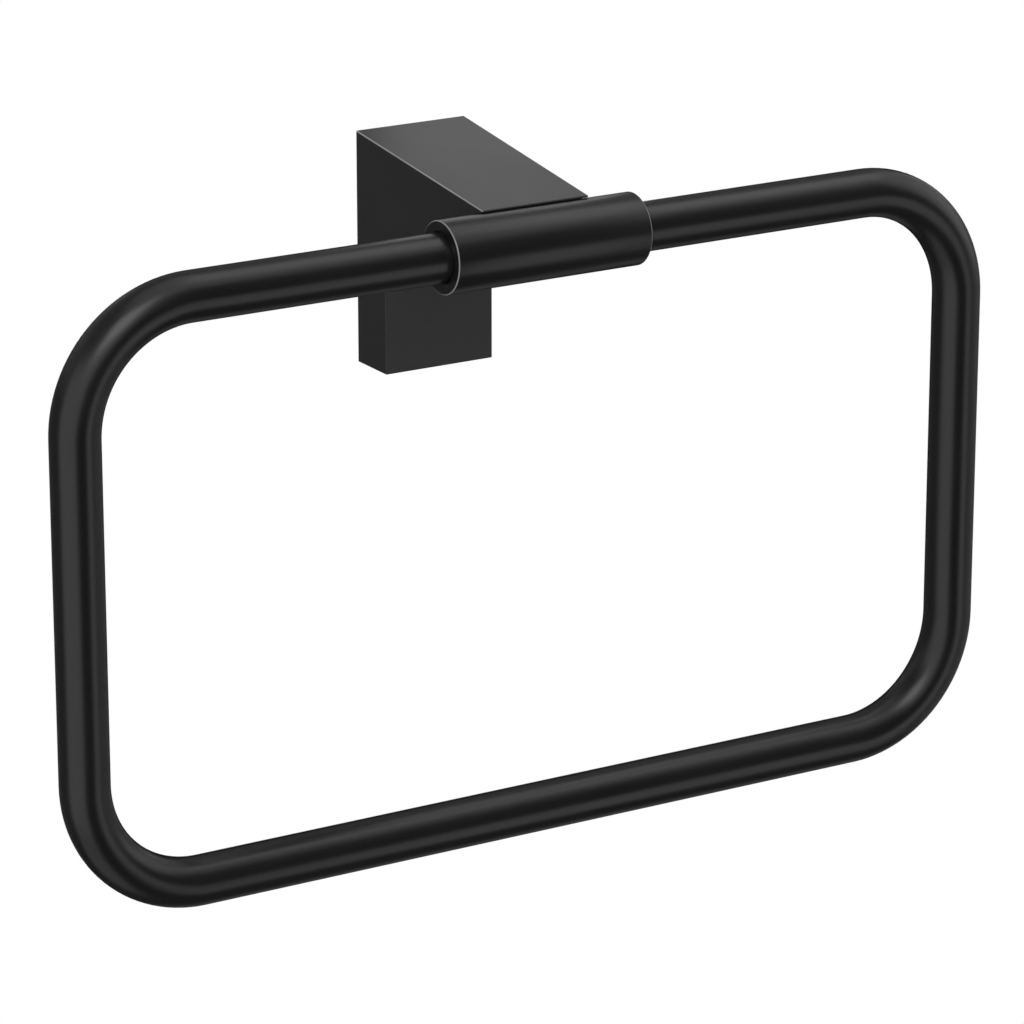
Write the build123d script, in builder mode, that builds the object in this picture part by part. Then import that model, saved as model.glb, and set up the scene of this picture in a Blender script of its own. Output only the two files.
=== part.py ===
import os
from math import radians, tan

from build123d import *

# Towel ring on a wall bracket, in millimetres. The wall is the plane y = 0 with +Y into it, +Z is up,
# and the origin is the middle of the bracket's back, between the two wall screws.

# Towel ring: one bent round bar whose two drilled ends face each other inside the sleeve
ring_width = 212.0  # outside
ring_height = 128.0  # outside
bar_d = 10.0
bend_r = 24.5  # to the middle of the bar
end_gap = 6.0

# Sleeve over the joint in the ring's top bar
sleeve_d = 14.7
sleeve_length = 44.0
sleeve_edge = 0.3
bore_edge = 0.3
bar_fit = 0.05  # radial play of the bar in the sleeve, and of the spigot in the bar's ends

# Spigot that joins the ring's two ends
spigot_d = 7.0
spigot_length = 32.0
spigot_edge = 0.5
spigot_end_play = 0.5  # at the bottom of each drilled end

# Bracket: a foot on the wall and a hollow arm that narrows towards the sleeve
bracket_height = 48.5
bracket_width = 25.2  # at the wall
arm_tip_width = 24.2
foot_depth = 11.3
reach = 50.0  # wall to the middle of the bar
bar_below_top = 13.7  # middle of the bar below the bracket's top at the wall
tip_rise = 0.5  # the arm's tip stands this much above the sleeve
tip_short = 0.8  # the arm's tip stops this much behind the middle of the bar
saddle_gap = 0.15  # between the sleeve and its seat in the arm's tip
bracket_wall = 3.0
arm_end_wall = 4.0  # between the hollow and the sleeve's seat
floor_wall = 4.5  # tapped for the lock screw
inner_r = 3.0  # between the arm's underside and the foot
edge_r = 0.25

# Wall plate: the bracket hooks over its slanted top edge
plate_t = 4.0
plate_height = 32.0  # on the wall side
plate_fit = 0.2
plate_corner = 1.0
hook_angle = 25.0
wall_screw_d = 4.5
wall_screw_head_d = 8.8
wall_screw_head_angle = 90.0
wall_screw_spacing = 18.0

# Lock screw in the bracket's underside, bearing on the plate's lower edge
lock_screw_d = 4.0
lock_screw_length = 6.0
lock_screw_edge = 0.4
lock_screw_inset = 3.6  # from the wall
lock_socket = 2.0  # across flats
lock_socket_depth = 2.4
thread_fit = 0.05  # radial
seat_fit = 0.02

# Sleeve screw, from inside the arm through the sleeve into the spigot
sleeve_screw_d = 4.0
sleeve_screw_play = 0.2  # radial, in the arm and the sleeve
sleeve_screw_head_d = 7.0
sleeve_screw_head = 2.8
sleeve_screw_short = 1.0  # its tip stays inside the spigot's far side
sleeve_socket = 2.5  # across flats
sleeve_socket_depth = 1.8

# Places that follow from the sizes above
bar_z = bracket_height / 2 - bar_below_top
tip_y = reach - tip_short
tip_half = sleeve_d / 2 + tip_rise
saddle_r = sleeve_d / 2 + saddle_gap
arm_fall = (bar_below_top - tip_half) / tip_y
foot_bottom = -bracket_height / 2
core_end = reach - saddle_r - arm_end_wall
core_depth = foot_depth - bracket_wall
core_width = arm_tip_width - 2 * bracket_wall
core_floor = foot_bottom + floor_wall
plate_bottom = -plate_height / 2
hook_slope = tan(radians(hook_angle))
slot_depth = plate_t + plate_fit
drill_depth = (spigot_length - end_gap) / 2 + spigot_end_play
screw_seat = core_end - seat_fit
screw_end = reach + spigot_d / 2 - sleeve_screw_short
bar_section = Plane(origin=(0, -reach, bar_z), x_dir=(0, 1, 0), z_dir=(1, 0, 0))


def arm_half(y):
    """Half height of the arm at a distance from the wall: it narrows evenly about the bar's middle."""
    return bar_below_top - arm_fall * y


def core_half(y):
    """Half height of the hollow inside the arm."""
    return arm_half(y) - bracket_wall


def facing_front(y):
    """Plane across the sleeve screw's line, at a distance from the wall, facing away from the wall."""
    return Plane(origin=(0, -y, bar_z), x_dir=(1, 0, 0), z_dir=(0, -1, 0))


# Bracket body
with BuildPart() as bracket_body:
    # Side view of foot and arm
    with BuildSketch(Plane.YZ) as side_view:
        with BuildLine():
            Polyline(
                (0, bar_z + arm_half(0)),
                (-tip_y, bar_z + tip_half),
                (-tip_y, bar_z - tip_half),
                (-foot_depth, bar_z - arm_half(foot_depth)),
                (-foot_depth, foot_bottom),
                (0, foot_bottom),
                close=True,
            )
        make_face()
        inner_corner = (-foot_depth, bar_z - arm_half(foot_depth))
        fillet(side_view.vertices().sort_by_distance(inner_corner)[0], radius=inner_r)
    extrude(amount=bracket_width, both=True)
    # Both sides lean in a little towards the tip
    with BuildSketch(Plane.XY):
        with BuildLine():
            Polyline(
                (-bracket_width / 2, 0),
                (bracket_width / 2, 0),
                (arm_tip_width / 2, -tip_y),
                (-arm_tip_width / 2, -tip_y),
                close=True,
            )
        make_face()
    extrude(amount=bracket_height, both=True, mode=Mode.INTERSECT)
    # Softened edges, apart from the rim on the wall
    sides = bracket_body.faces().sort_by(Axis.X)
    crosswise = bracket_body.edges().filter_by(Axis.X)
    softened = sides[0].edges() + sides[-1].edges()
    softened += crosswise.group_by(Axis.Y)[0] + crosswise.group_by(Axis.Z)[0]
    fillet(softened.filter_by(lambda edge: edge.center().Y < -edge_r), radius=edge_r)
    # Seat for the sleeve
    with BuildSketch(bar_section):
        Circle(saddle_r)
    extrude(amount=bracket_width, both=True, mode=Mode.SUBTRACT)
    # Hollow, open at the wall, with the hook over the wall plate's top edge
    with BuildSketch(Plane.YZ):
        with BuildLine():
            Polyline(
                (0, core_floor),
                (0, plate_height / 2 + plate_fit),
                (-slot_depth, plate_height / 2 + plate_fit + hook_slope * slot_depth),
                (-slot_depth, bar_z + core_half(slot_depth)),
                (-core_end, bar_z + core_half(core_end)),
                (-core_end, bar_z - core_half(core_end)),
                (-core_depth, bar_z - core_half(core_depth)),
                (-core_depth, core_floor),
                close=True,
            )
        make_face()
    extrude(amount=core_width / 2, both=True, mode=Mode.SUBTRACT)
    # Hole for the sleeve screw through the arm's end
    with BuildSketch(facing_front(core_end)):
        Circle(sleeve_screw_d / 2 + sleeve_screw_play)
    extrude(amount=reach - core_end, mode=Mode.SUBTRACT)
    # Tapped hole for the lock screw, at its outside diameter
    with BuildSketch(Plane.XY.offset(foot_bottom)):
        with Locations((0, -lock_screw_inset)):
            Circle(lock_screw_d / 2 + thread_fit)
    extrude(amount=floor_wall, mode=Mode.SUBTRACT)

# Wall plate
with BuildPart() as wall_plate:
    with BuildSketch(Plane.YZ):
        with BuildLine():
            Polyline(
                (0, plate_bottom),
                (0, plate_height / 2),
                (-plate_t, plate_height / 2 + hook_slope * plate_t),
                (-plate_t, plate_bottom),
                close=True,
            )
        make_face()
    extrude(amount=core_width / 2 - plate_fit, both=True)
    fillet(wall_plate.edges().filter_by(Axis.Y), radius=plate_corner)
    with Locations(Plane(origin=(0, -plate_t, 0), x_dir=(1, 0, 0), z_dir=(0, -1, 0))):
        with GridLocations(0, wall_screw_spacing, 1, 2):
            CounterSinkHole(
                radius=wall_screw_d / 2,
                counter_sink_radius=wall_screw_head_d / 2,
                counter_sink_angle=wall_screw_head_angle,
            )

# Lock screw
with BuildPart() as lock_screw:
    with BuildSketch(Plane.XY.offset(plate_bottom - seat_fit)):
        with Locations((0, -lock_screw_inset)):
            Circle(lock_screw_d / 2)
    extrude(amount=-lock_screw_length)
    chamfer(lock_screw.edges(), length=lock_screw_edge)
    with BuildSketch(Plane.XY.offset(plate_bottom - seat_fit - lock_screw_length)):
        with Locations((0, -lock_screw_inset)):
            RegularPolygon(lock_socket / 2, side_count=6, major_radius=False)
    extrude(amount=lock_socket_depth, mode=Mode.SUBTRACT)

# Sleeve
with BuildPart() as sleeve:
    with BuildSketch(bar_section):
        Circle(sleeve_d / 2)
        Circle(bar_d / 2 + bar_fit, mode=Mode.SUBTRACT)
    extrude(amount=sleeve_length / 2, both=True)
    rims = sleeve.edges().filter_by(GeomType.CIRCLE).group_by(SortBy.RADIUS)
    chamfer(rims[0], length=bore_edge)
    chamfer(rims[-1], length=sleeve_edge)
    with BuildSketch(facing_front(core_end)):
        Circle(sleeve_screw_d / 2 + sleeve_screw_play)
    extrude(amount=reach - core_end, mode=Mode.SUBTRACT)

# Towel ring, swept from one end round to the other, then drilled for the spigot
with BuildPart() as towel_ring:
    half_width = (ring_width - bar_d) / 2
    low_z = bar_z - (ring_height - bar_d)
    with BuildLine(Plane.XZ.offset(reach)):
        bar_line = FilletPolyline(
            (end_gap / 2, bar_z),
            (half_width, bar_z),
            (half_width, low_z),
            (-half_width, low_z),
            (-half_width, bar_z),
            (-end_gap / 2, bar_z),
            radius=bend_r,
        )
    with BuildSketch(Plane(origin=bar_line @ 0, z_dir=bar_line % 0)):
        Circle(bar_d / 2)
    sweep(path=bar_line)
    with BuildSketch(bar_section):
        Circle(spigot_d / 2 + bar_fit)
    extrude(amount=end_gap / 2 + drill_depth, both=True, mode=Mode.SUBTRACT)

# Spigot
with BuildPart() as ring_spigot:
    with BuildSketch(bar_section):
        Circle(spigot_d / 2)
    extrude(amount=spigot_length / 2, both=True)
    chamfer(ring_spigot.edges().filter_by(GeomType.CIRCLE), length=spigot_edge)
    with BuildSketch(facing_front(core_end)):
        Circle(sleeve_screw_d / 2 + thread_fit)
    extrude(amount=2 * (reach - core_end), mode=Mode.SUBTRACT)

# Sleeve screw
with BuildPart() as sleeve_screw:
    with BuildSketch(facing_front(screw_seat)):
        Circle(sleeve_screw_head_d / 2)
    extrude(amount=-sleeve_screw_head)
    with BuildSketch(facing_front(screw_seat)):
        Circle(sleeve_screw_d / 2)
    extrude(amount=screw_end - screw_seat)
    with BuildSketch(facing_front(screw_seat - sleeve_screw_head)):
        RegularPolygon(sleeve_socket / 2, side_count=6, major_radius=False)
    extrude(amount=sleeve_socket_depth, mode=Mode.SUBTRACT)

bracket_body.part.label = "bracket_body"
wall_plate.part.label = "wall_plate"
lock_screw.part.label = "lock_screw"
sleeve.part.label = "sleeve"
towel_ring.part.label = "towel_ring"
ring_spigot.part.label = "ring_spigot"
sleeve_screw.part.label = "sleeve_screw"

os.makedirs("parts", exist_ok=True)
export_step(bracket_body.part, "parts/bracket_body.step")
export_step(wall_plate.part, "parts/wall_plate.step")
export_step(lock_screw.part, "parts/lock_screw.step")
export_step(sleeve.part, "parts/sleeve.step")
export_step(towel_ring.part, "parts/towel_ring.step")
export_step(ring_spigot.part, "parts/ring_spigot.step")
export_step(sleeve_screw.part, "parts/sleeve_screw.step")
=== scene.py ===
from math import cos, pi, radians, sin, tan

import bmesh
import bpy
from mathutils import Matrix, Vector


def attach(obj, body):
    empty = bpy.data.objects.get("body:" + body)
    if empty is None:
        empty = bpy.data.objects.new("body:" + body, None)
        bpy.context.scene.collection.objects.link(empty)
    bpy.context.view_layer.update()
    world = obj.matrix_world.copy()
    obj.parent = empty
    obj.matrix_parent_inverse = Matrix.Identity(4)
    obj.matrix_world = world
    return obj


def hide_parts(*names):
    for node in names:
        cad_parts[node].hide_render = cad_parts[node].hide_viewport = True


# Towel ring on a wall bracket, in metres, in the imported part's frame: the wall is the plane y = 0.
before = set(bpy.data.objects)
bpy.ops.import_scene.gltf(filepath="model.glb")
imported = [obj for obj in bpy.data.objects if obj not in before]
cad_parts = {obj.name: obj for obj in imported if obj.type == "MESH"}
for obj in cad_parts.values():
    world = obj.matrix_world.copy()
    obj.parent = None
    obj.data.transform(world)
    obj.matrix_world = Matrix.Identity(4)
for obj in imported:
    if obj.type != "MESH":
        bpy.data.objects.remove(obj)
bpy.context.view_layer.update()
scene = bpy.context.scene
scene.view_settings.view_transform = "Standard"


def box(node):
    """Lowest and highest corner of one of the part's solids."""
    places = [vertex.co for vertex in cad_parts[node].data.vertices]
    return [Vector([pick(p[axis] for p in places) for axis in range(3)]) for pick in (min, max)]


# Towel ring: a round bar with four bends, its two drilled ends inside the sleeve
ring_low, ring_high = box("towel_ring")
BAR_R = 0.005
BAR_Y = (ring_low.y + ring_high.y) / 2
BAR_Z = ring_high.z - BAR_R
LOW_BAR_Z = ring_low.z + BAR_R
RING_X = ring_high.x - BAR_R  # middle of the upright bars
BEND_R = 0.0245
END_X = 0.003  # from the middle to each end
DRILL_R = 0.00355
DRILL_DEPTH = 0.0135
BAR_SIDES = 64
BEND_STEPS = 28

# Sleeve over the joint in the top bar
sleeve_low, sleeve_high = box("sleeve")
SLEEVE_R = (sleeve_high.y - sleeve_low.y) / 2
SLEEVE_HALF = sleeve_high.x
BORE_R = 0.00505
RIM_ROUND = 0.0003
SLEEVE_SIDES = 96

# Bracket: its arm narrows on each side and its top falls from the wall to the tip
bracket_low, bracket_high = box("bracket_body")
ARM_HALF = bracket_high.x
ARM_TOP = bracket_high.z
ARM_LENGTH = -bracket_low.y
ARM_NARROWS = 0.0005
ARM_FALLS = 0.00585

# Lock screw: thread, core and hexagon socket
screw_low, screw_high = box("lock_screw")
LOCK_Y = (screw_low.y + screw_high.y) / 2
LOCK_LOW, LOCK_HIGH = screw_low.z, screw_high.z
THREAD_ROOT = 0.00157
THREAD_CREST = 0.00198
THREAD_PITCH = 0.0007
THREAD_FLAT = 0.12  # width of the crest as a share of the pitch
THREAD_TURNS = 10  # longer than the screw, cut off at both ends
THREAD_SIDES = 40
PLAIN_END = 0.00035  # stretch without thread at each end
CORE_SIDES = 48
HEX_HALF = 0.001  # half across flats
HEX_DEPTH = 0.0024

# Black coats: colours, and a painted highlight, a pale line along sharp edges
POWDER_DARK, POWDER_LIGHT = (0.010, 0.010, 0.0104, 1), (0.017, 0.017, 0.0176, 1)
SATIN_DARK, SATIN_LIGHT = (0.0046, 0.0046, 0.0048, 1), (0.0080, 0.0080, 0.0083, 1)
# painted highlight: pale colour along sharp edges that stands in for light glinting on them
EDGE_HIGHLIGHT_COLOUR = (0.55, 0.55, 0.56, 1)
EDGE_HIGHLIGHT_WIDTH = 0.00027

# Studio: camera, floor, lamps and cards
VIEW_FROM = (-0.48644, -0.85670, 0.26052)
VIEW_ALONG = (0.48688, 0.81727, -0.30824)
FLOOR_Z = -1.2
FLOOR_R = 4.0
SHADOW_R = 0.15  # the floor keeps its shadow out to here
WHITE_R = 0.45  # and is plain white from here on
WHITE_SHARE = 0.35  # share of plain white where the shadow is kept
TRAY_Z = FLOOR_Z + 0.002
UPPER_TRAY_Z = FLOOR_Z + 0.004
LAMP_AIM = Vector((0, BAR_Y, -0.03))
CARD_LEVEL = -0.045  # height from which the cards' elevations are taken
CARD_AWAY = 1.3
FAR_CARD_AWAY = 2.0

SHARP = radians(32)  # edges sharper than this stay sharp
CLOSE = 1e-6  # nearer than this is the same place


class Signal:
    """An output socket among a material's nodes; arithmetic on it adds Math nodes."""

    def __init__(self, socket):
        self.socket = socket

    def node(self, kind, settings, sockets, output=0):
        """Adds a node of any kind, with its settings first and then its values and links."""
        tree = self.socket.id_data
        made = tree.nodes.new(kind)
        for setting, value in settings.items():
            setattr(made, setting, value)
        for name, value in sockets.items():
            if isinstance(value, Signal):
                tree.links.new(value.socket, made.inputs[name])
            else:
                made.inputs[name].default_value = value
        return Signal(made.outputs[output])

    def maths(self, operation, first, second):
        return self.node("ShaderNodeMath", {"operation": operation}, {0: first, 1: second})

    def __add__(self, other):
        return self.maths("ADD", self, other)

    def __sub__(self, other):
        return self.maths("SUBTRACT", self, other)

    def __mul__(self, other):
        return self.maths("MULTIPLY", self, other)

    def __radd__(self, other):
        return self.maths("ADD", other, self)

    def __rsub__(self, other):
        return self.maths("SUBTRACT", other, self)

    def __rmul__(self, other):
        return self.maths("MULTIPLY", other, self)

    def larger(self, other):
        return self.maths("MAXIMUM", self, other)

    def size(self):
        """This value without its sign."""
        return self.node("ShaderNodeMath", {"operation": "ABSOLUTE"}, {0: self})

    def fading(self, width):
        """1 where this distance is 0, falling evenly to 0 at a width."""
        slope = {"Value": self, "From Max": width, "To Min": 1.0, "To Max": 0.0}
        return self.node("ShaderNodeMapRange", {}, slope)

    def along(self, axis):
        """One of these coordinates."""
        return self.node("ShaderNodeSeparateXYZ", {}, {0: self}, axis)

    def times(self, factors):
        """These coordinates, each times its own factor."""
        return self.node("ShaderNodeVectorMath", {"operation": "MULTIPLY"}, {0: self, 1: factors})

    def distance(self, place):
        """How far these coordinates are from a place."""
        ends = {0: self, 1: place}
        return self.node("ShaderNodeVectorMath", {"operation": "DISTANCE"}, ends, "Value")

    def stretched(self, x, y, z):
        return self.node("ShaderNodeMapping", {}, {"Vector": self, "Scale": (x, y, z)})

    def noise(self, scale, detail=2.0, rough=0.5):
        """Noise from 0 to 1 at these coordinates; scale is in lumps per metre."""
        values = {"Vector": self, "Scale": scale, "Detail": detail, "Roughness": rough}
        return self.node("ShaderNodeTexNoise", {}, values)

    def between(self, first, second):
        """Colour that goes from the first to the second as this value goes from 0 to 1."""
        return self.node("ShaderNodeMix", {"data_type": "RGBA"}, {0: self, 6: first, 7: second}, 2)


def finish_of(name):
    """New material: its shader, and the coordinates of the piece it is on."""
    material = bpy.data.materials.new(name)
    material.use_nodes = True
    nodes = material.node_tree.nodes
    shader = nodes["Principled BSDF"]
    return material, shader, Signal(nodes.new("ShaderNodeTexCoord").outputs["Object"])


def feed(shader, socket, signal):
    shader.id_data.links.new(signal.socket, shader.inputs[socket])


def emboss(height, depth):
    """Normal of a surface whose relief is a height from 0 to 1 times a depth in metres."""
    relief = {"Height": height, "Distance": depth, "Strength": 1.0}
    return height.node("ShaderNodeBump", {}, relief)


def arm_edges(place):
    """Depth below the surface at the two upper edges along the bracket's arm."""
    x, y, z = (place.along(axis) for axis in "XYZ")
    side = ARM_HALF + ARM_NARROWS / ARM_LENGTH * y - x.size()
    top = ARM_TOP + ARM_FALLS / ARM_LENGTH * y - z
    return top.larger(side)


def sleeve_rims(place):
    """Depth below the surface at the sleeve's two outer rims."""
    radius = place.times((0, 1, 1)).distance((0, BAR_Y, BAR_Z))
    return (SLEEVE_R - radius).larger(SLEEVE_HALF - place.along("X").size())


def black_coat(name, dark, light, roughness, gloss, peel_size, peel_depth, edges=None):
    """Black coat on metal: flow marks, fine grain, faint clouds, and a painted highlight at sharp
    edges.
    """
    material, shader, place = finish_of(name)
    cloud = place.noise(38.0, 3.0, 0.55)
    peel = place.noise(1 / peel_size, 1.0, 0.4)
    grain = place.noise(5200.0, 2.0, 0.6)
    colour = (0.6 * cloud + 0.4 * grain).between(dark, light)
    if edges:
        # painted highlight: pale colour along the sharp edges, patchy with the clouds
        painted_highlight = edges(place).fading(EDGE_HIGHLIGHT_WIDTH) * (0.5 + 0.6 * cloud)
        colour = painted_highlight.between(colour, EDGE_HIGHLIGHT_COLOUR)
    feed(shader, "Base Color", colour)
    feed(shader, "Roughness", roughness + 0.10 * (cloud - 0.5) + 0.08 * (grain - 0.5))
    feed(shader, "Normal", emboss(0.85 * peel + 0.15 * grain, peel_depth))
    shader.inputs["Specular IOR Level"].default_value = gloss
    return material


def powder_coat(name, edges):
    """Matt coat of the bracket, with close and deep flow marks."""
    return black_coat(
        name,
        POWDER_DARK,
        POWDER_LIGHT,
        roughness=0.42,
        gloss=0.60,
        peel_size=0.0011,
        peel_depth=0.000010,
        edges=edges,
    )


def satin_coat(name, edges=None):
    """Smoother coat of the bar and the sleeve."""
    return black_coat(
        name,
        SATIN_DARK,
        SATIN_LIGHT,
        roughness=0.31,
        gloss=0.50,
        peel_size=0.0016,
        peel_depth=0.000006,
        edges=edges,
    )


def zinc_plate():
    """Zinc plated sheet steel: rolling lines along the sheet and a faint bluish cloud."""
    material, shader, place = finish_of("zinc_plated_steel")
    rolled = place.stretched(1.0, 1.0, 0.04).noise(6500.0, 2.0, 0.6)
    spangle = place.noise(420.0, 2.0, 0.5)
    tone = 0.5 * rolled + 0.5 * spangle
    feed(shader, "Base Color", tone.between((0.50, 0.52, 0.55, 1), (0.72, 0.73, 0.74, 1)))
    feed(shader, "Roughness", 0.24 + 0.16 * spangle + 0.10 * rolled)
    feed(shader, "Normal", emboss(rolled, 0.000004))
    shader.inputs["Metallic"].default_value = 1.0
    return material


def turned_brass():
    """Turned brass rod: fine tool rings along the rod."""
    material, shader, place = finish_of("turned_brass")
    rings = place.stretched(1.0, 0.03, 0.03).noise(7000.0, 1.0, 0.5)
    feed(shader, "Base Color", rings.between((0.62, 0.45, 0.19, 1), (0.80, 0.62, 0.31, 1)))
    feed(shader, "Roughness", 0.22 + 0.14 * rings)
    feed(shader, "Normal", emboss(rings, 0.000004))
    shader.inputs["Metallic"].default_value = 1.0
    return material


def black_oxide():
    """Black oxide on steel, a little cloudy."""
    material, shader, place = finish_of("black_oxide")
    bloom = place.noise(900.0, 3.0, 0.6)
    feed(shader, "Base Color", bloom.between((0.012, 0.012, 0.013, 1), (0.040, 0.039, 0.038, 1)))
    feed(shader, "Roughness", 0.34 + 0.20 * bloom)
    feed(shader, "Normal", emboss(place.noise(5200.0), 0.000003))
    shader.inputs["Metallic"].default_value = 0.6
    return material


# painted highlight along the arm's upper edges
bracket_black = powder_coat("bracket_powder_coat", arm_edges)
bar_black = satin_coat("bar_satin_coat")
# painted highlight round the sleeve's outer rims
sleeve_black = satin_coat("sleeve_satin_coat", sleeve_rims)
screw_black = black_oxide()
plate_zinc = zinc_plate()
spigot_brass = turned_brass()

for node, finish in {
    "bracket_body": bracket_black,
    "wall_plate": plate_zinc,
    "sleeve_screw": plate_zinc,
    "ring_spigot": spigot_brass,
}.items():
    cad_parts[node].material_slots[0].material = finish


def put_in_scene(name, shape, finish):
    """Object with a finished shape as its mesh."""
    mesh = bpy.data.meshes.new(name)
    shape.to_mesh(mesh)
    shape.free()
    mesh.materials.append(finish)
    made = bpy.data.objects.new(name, mesh)
    scene.collection.objects.link(made)
    return made


def make_piece(name, shape, finish, stands_for):
    """Turns a finished shape into a piece that rides with the part."""
    bmesh.ops.recalc_face_normals(shape, faces=shape.faces)
    piece = put_in_scene(name, shape, finish)
    piece.data.shade_smooth()
    piece.data.set_sharp_from_angle(angle=SHARP)
    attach(piece, "root")
    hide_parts(stands_for)


def verts_in(geometry):
    return [part for part in geometry if isinstance(part, bmesh.types.BMVert)]


def edges_in(geometry):
    return [part for part in geometry if isinstance(part, bmesh.types.BMEdge)]


def pull_on(shape, loop, move):
    """Extrudes a loop of edges by a move and gives the new loop."""
    grown = bmesh.ops.extrude_edge_only(shape, edges=loop)["geom"]
    bmesh.ops.translate(shape, verts=verts_in(grown), vec=move)
    return edges_in(grown)


def drill(shape, loop, inward):
    """Closes an open bar end with a drilled hole for the spigot."""
    grown = bmesh.ops.extrude_edge_only(shape, edges=loop)["geom"]
    rim = verts_in(grown)
    middle = sum((v.co for v in rim), Vector()) / len(rim)
    ratio = DRILL_R / BAR_R
    bmesh.ops.scale(shape, verts=rim, vec=(ratio,) * 3, space=Matrix.Translation(-middle))
    bottom = pull_on(shape, edges_in(grown), inward)
    bmesh.ops.contextual_create(shape, geom=bottom)


def towel_ring():
    """One bent round bar, from its right end inside the sleeve round to its left end."""
    shape = bmesh.new()
    facing_x = Matrix.Translation((END_X, BAR_Y, BAR_Z)) @ Matrix.Rotation(pi / 2, 4, "Y")
    end = bmesh.ops.create_circle(shape, segments=BAR_SIDES, radius=BAR_R, matrix=facing_x)["verts"]
    start = list({e for v in end for e in v.link_edges})
    run = RING_X - BEND_R
    top, low = BAR_Z - BEND_R, LOW_BAR_Z + BEND_R
    loop = pull_on(shape, start, (run - END_X, 0, 0))
    for bend_x, bend_z, straight in (
        (run, top, (0, 0, low - top)),
        (run, low, (-2 * run, 0, 0)),
        (-run, low, (0, 0, top - low)),
        (-run, top, (run - END_X, 0, 0)),
    ):
        verts = list({v for e in loop for v in e.verts})
        turned = bmesh.ops.spin(
            shape,
            geom=verts + loop,
            cent=(bend_x, BAR_Y, bend_z),
            axis=(0, 1, 0),
            angle=pi / 2,
            steps=BEND_STEPS,
        )["geom_last"]
        loop = pull_on(shape, edges_in(turned), straight)
    drill(shape, start, (DRILL_DEPTH, 0, 0))
    drill(shape, loop, (-DRILL_DEPTH, 0, 0))
    make_piece("towel_ring_bar", shape, bar_black, "towel_ring")


def sleeve():
    """Plain turned sleeve over the joint in the top bar, with softened rims."""
    shape = bmesh.new()
    corners = (
        (-SLEEVE_HALF, BORE_R),
        (-SLEEVE_HALF, SLEEVE_R),
        (SLEEVE_HALF, SLEEVE_R),
        (SLEEVE_HALF, BORE_R),
    )
    section = [shape.verts.new((x, BAR_Y - radius, BAR_Z)) for x, radius in corners]
    lines = [shape.edges.new(pair) for pair in zip(section, section[1:] + section[:1])]
    bmesh.ops.spin(
        shape,
        geom=section + lines,
        cent=(0, BAR_Y, BAR_Z),
        axis=(1, 0, 0),
        angle=2 * pi,
        steps=SLEEVE_SIDES,
        use_merge=True,
    )

    def on_rim(edge, radius):
        a, b = (v.co for v in edge.verts)
        from_axis = [(co - Vector((co.x, BAR_Y, BAR_Z))).length for co in (a, b)]
        return abs(a.x - b.x) < CLOSE and all(abs(r - radius) < CLOSE for r in from_axis)

    for radius, segments in ((SLEEVE_R, 4), (BORE_R, 2)):
        bmesh.ops.bevel(
            shape,
            geom=[e for e in shape.edges if on_rim(e, radius)],
            offset=RIM_ROUND,
            affect="EDGES",
            segments=segments,
            profile=0.5,
            material=-1,
        )
    make_piece("sleeve_turned", shape, sleeve_black, "sleeve")


def lock_screw():
    """Socket set screw: a cut thread, squared off short of both ends, round a core with a socket."""
    shape = bmesh.new()
    flat_low, flat_high = -0.5 - THREAD_FLAT / 2, -0.5 + THREAD_FLAT / 2
    corners = (
        (THREAD_ROOT, -1.0),
        (THREAD_CREST, flat_low),
        (THREAD_CREST, flat_high),
        (THREAD_ROOT, 0.0),
    )
    section = [shape.verts.new((r, LOCK_Y, LOCK_LOW + rise * THREAD_PITCH)) for r, rise in corners]
    lines = [shape.edges.new(pair) for pair in zip(section, section[1:])]
    bmesh.ops.spin(
        shape,
        geom=section + lines,
        cent=(0, LOCK_Y, 0),
        axis=(0, 0, 1),
        dvec=(0, 0, THREAD_PITCH / THREAD_SIDES),
        angle=2 * pi * THREAD_TURNS,
        steps=THREAD_TURNS * THREAD_SIDES,
    )
    bmesh.ops.remove_doubles(shape, verts=shape.verts, dist=2 * CLOSE)
    for height, outwards in ((LOCK_LOW + PLAIN_END, -1), (LOCK_HIGH - PLAIN_END, 1)):
        cut = bmesh.ops.bisect_plane(
            shape,
            geom=[*shape.verts, *shape.edges, *shape.faces],
            plane_co=(0, 0, height),
            plane_no=(0, 0, outwards),
            clear_outer=True,
        )["geom_cut"]
        bmesh.ops.edgeloop_fill(shape, edges=edges_in(cut))
    lower_end = Matrix.Translation((0, LOCK_Y, LOCK_LOW))
    rim = bmesh.ops.create_circle(
        shape, segments=CORE_SIDES, radius=THREAD_ROOT, matrix=lower_end
    )["verts"]
    corners = bmesh.ops.create_circle(
        shape, segments=6, radius=HEX_HALF / cos(pi / 6), matrix=lower_end
    )["verts"]
    flats = list({e for v in corners for e in v.link_edges})
    bmesh.ops.subdivide_edges(shape, edges=flats, cuts=CORE_SIDES // 6 - 1)
    lowest = [e for e in shape.edges if all(v.co.z < LOCK_LOW + CLOSE for v in e.verts)]
    rim_loop = [e for e in lowest if e.verts[0] in rim]
    socket_loop = [e for e in lowest if e.verts[0] not in rim]
    bmesh.ops.bridge_loops(shape, edges=rim_loop + socket_loop)
    for loop, depth in ((socket_loop, HEX_DEPTH), (rim_loop, LOCK_HIGH - LOCK_LOW)):
        bmesh.ops.contextual_create(shape, geom=pull_on(shape, loop, (0, 0, depth)))
    make_piece("lock_screw_threaded", shape, screw_black, "lock_screw")


towel_ring()
sleeve()
lock_screw()


def aim(holder, direction):
    """Turns a camera or a lamp to look along a direction."""
    holder.rotation_euler = Vector(direction).to_track_quat("-Z", "Y").to_euler()


def photo_camera():
    """Camera at the photo's viewing angle."""
    camera = bpy.data.objects.new("camera", bpy.data.cameras.new("camera"))
    camera.data.lens = 175.125
    camera.data.sensor_width = 36.0
    camera.location = VIEW_FROM
    aim(camera, VIEW_ALONG)
    scene.collection.objects.link(camera)
    scene.camera = camera


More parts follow.
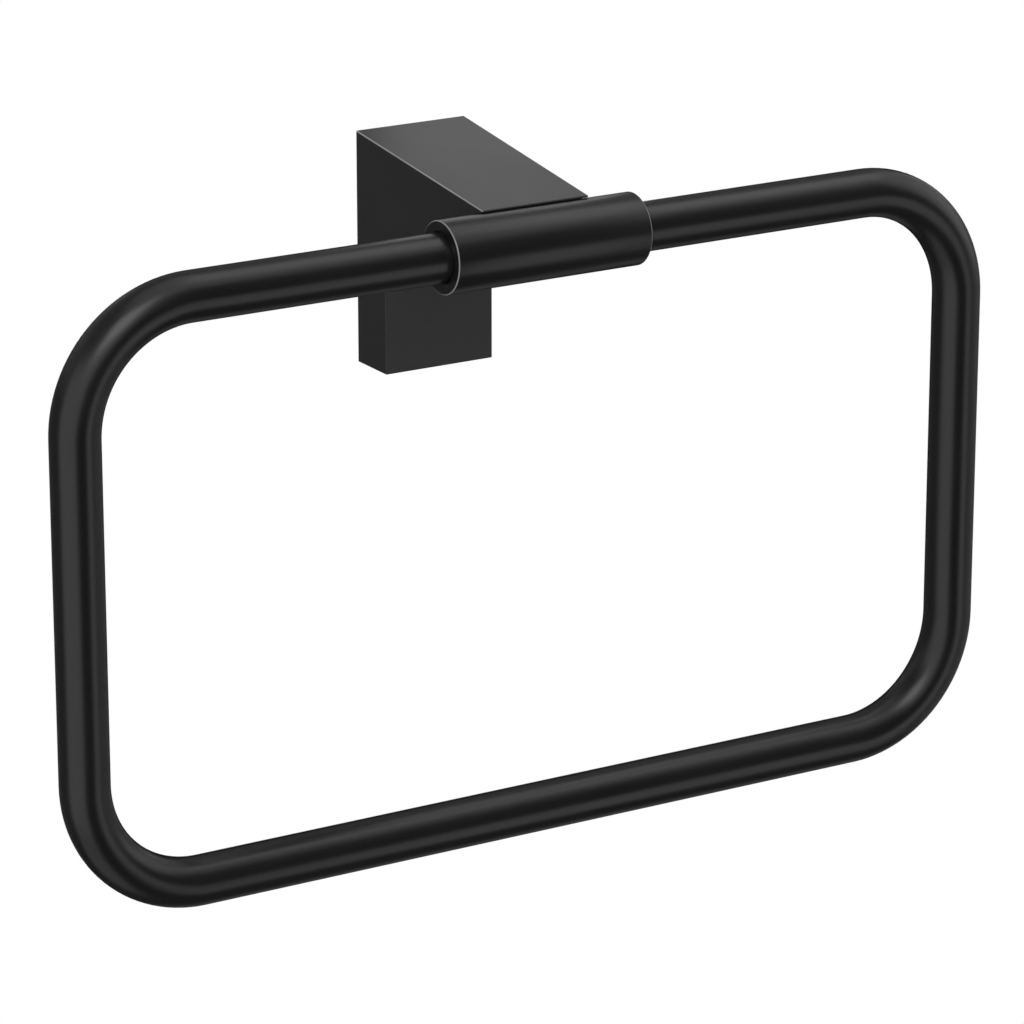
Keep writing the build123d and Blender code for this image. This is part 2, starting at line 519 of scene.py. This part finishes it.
def seen_directly(tree):
    """1 for rays from the camera, in a reflection or through glass, 0 for light on a surface."""
    rays = tree.nodes.new("ShaderNodeLightPath").outputs
    seen = Signal(rays["Is Camera Ray"])
    return seen.larger(Signal(rays["Is Glossy Ray"])).larger(Signal(rays["Is Transmission Ray"]))


def pale_floor():
    """Round pale floor that keeps the object's shadow near it and is plain white further out."""
    material, shader, place = finish_of("pale_floor")
    paint = place.noise(24.0, 3.0).between((0.84, 0.84, 0.84, 1), (0.88, 0.88, 0.88, 1))
    feed(shader, "Base Color", paint)
    shader.inputs["Roughness"].default_value = 0.8
    shader.inputs["Specular IOR Level"].default_value = 0.2
    away = place.times((1, 1, 0)).distance((0, 0, 0))
    reach = {"Value": away, "From Min": SHADOW_R, "From Max": WHITE_R, "To Min": WHITE_SHARE}
    plain = away.node("ShaderNodeMapRange", {}, reach)
    glow = place.node("ShaderNodeEmission", {}, {"Strength": 1.0})
    tree = material.node_tree
    white = plain * seen_directly(tree)
    both = {0: white, 1: Signal(shader.outputs[0]), 2: glow}
    surface = place.node("ShaderNodeMixShader", {}, both)
    tree.links.new(surface.socket, tree.nodes["Material Output"].inputs["Surface"])
    shape = bmesh.new()
    level = Matrix.Translation((0, 0, FLOOR_Z))
    bmesh.ops.create_circle(shape, cap_ends=True, segments=96, radius=FLOOR_R, matrix=level)
    put_in_scene("floor", shape, material)


def white_surround():
    """White seen directly and in reflections, a softer white as light."""
    world = bpy.data.worlds.new("studio")
    scene.world = world
    world.use_nodes = True
    tree = world.node_tree
    soft = tree.nodes["Background"]
    soft.inputs["Color"].default_value = (1, 1, 1, 1)
    soft.inputs["Strength"].default_value = 0.85
    seen = seen_directly(tree)
    white = seen.node("ShaderNodeBackground", {}, {"Color": (1, 1, 1, 1), "Strength": 1.0})
    both = {0: seen, 1: Signal(soft.outputs[0]), 2: white}
    surface = seen.node("ShaderNodeMixShader", {}, both)
    tree.links.new(surface.socket, tree.nodes["World Output"].inputs["Surface"])


def softbox(name, place, size, brightness):
    """Square lamp aimed at the ring, with the brightness of its face."""
    lamp = bpy.data.lights.new(name, "AREA")
    lamp.size = size
    lamp.energy = brightness * size * size * pi
    holder = bpy.data.objects.new(name, lamp)
    holder.location = place
    aim(holder, LAMP_AIM - Vector(place))
    scene.collection.objects.link(holder)


def card_cloth(name, grey):
    """Plain cloth for the cards, with no gloss."""
    material, shader, _ = finish_of(name)
    shader.inputs["Base Color"].default_value = (grey, grey, grey, 1)
    shader.inputs["Specular IOR Level"].default_value = 0.0
    return material


def hang(name, cloth, shape):
    """Puts up a cloth that is seen only in reflections."""
    hung = put_in_scene(name, shape, cloth)
    hung.visible_camera = False
    hung.visible_diffuse = False
    hung.visible_shadow = False
    hung.visible_transmission = False


def card(name, cloth, azimuths, elevations, away=CARD_AWAY):
    """Curved card round the ring, from and to two angles; azimuth 0 is in front, 90 to the right."""
    shape = bmesh.new()
    start, end = (radians(azimuth) for azimuth in azimuths)
    corners = []
    for elevation in elevations:
        height = CARD_LEVEL + away * tan(radians(elevation))
        corners.append(shape.verts.new((away * sin(start), BAR_Y - away * cos(start), height)))
    edge = shape.edges.new(corners)
    bmesh.ops.spin(
        shape,
        geom=[edge, *corners],
        cent=(0, BAR_Y, 0),
        axis=(0, 0, 1),
        angle=end - start,
        steps=16,
    )
    hang(name, cloth, shape)


def round_cloth(name, cloth, height, radius, right=0.0, front=0.0):
    """Round level cloth under or over the ring, off to the right and the front of it."""
    shape = bmesh.new()
    middle = Matrix.Translation((right, BAR_Y - front, height))
    bmesh.ops.create_circle(shape, cap_ends=True, segments=64, radius=radius, matrix=middle)
    hang(name, cloth, shape)


photo_camera()
pale_floor()
white_surround()

black_cloth = card_cloth("black_cloth", 0.01)
tray_cloth = card_cloth("tray_cloth", 0.05)
dark_cloth = card_cloth("dark_cloth", 0.12)
grey_cloth = card_cloth("grey_cloth", 0.24)
pale_cloth = card_cloth("pale_cloth", 0.36)
soft_cloth = card_cloth("soft_cloth", 0.6)
white_cloth = card_cloth("white_cloth", 0.9)

# Lamps, then the cards and cloths that give the bars their light and dark bands
softbox("overhead_softbox", (0.54, -0.06, 1.0), size=0.67, brightness=0.86)
softbox("left_softbox", (-0.40, -0.84, 0.84), size=0.68, brightness=2.9)
card("front_card", black_cloth, (-28, 20), (-44, -8), away=1.25)
card("front_right_card", black_cloth, (-20, 58), (-8, 12), away=FAR_CARD_AWAY)
card("high_front_card", black_cloth, (2, 53), (12, 40), away=FAR_CARD_AWAY)
card("low_right_card", pale_cloth, (44, 94), (-42, -5))
card("right_card", grey_cloth, (94, 128), (-44, 6))
card("back_card", black_cloth, (128, 172), (-44, 19))
card("high_right_card", soft_cloth, (98, 126), (6, 38))
card("high_back_card", grey_cloth, (126, 175), (19, 42))
card("arm_card", white_cloth, (136, 168), (37, 56), away=0.1)  # for the arm's top face
card("left_back_card", dark_cloth, (172, 262), (-44, 12))
card("high_left_back_card", pale_cloth, (175, 262), (12, 40))
round_cloth("dark_tray", tray_cloth, TRAY_Z, radius=1.3)
round_cloth("back_tray", grey_cloth, UPPER_TRAY_Z, radius=0.5, right=0.75, front=-0.65)
round_cloth("left_tray", soft_cloth, UPPER_TRAY_Z, radius=0.62, right=-0.72, front=0.35)
round_cloth("overhead_silk", white_cloth, 1.1, radius=0.8, right=0.38, front=0.15)
round_cloth("overhead_cloth", grey_cloth, 1.25, radius=1.75, right=-0.3)
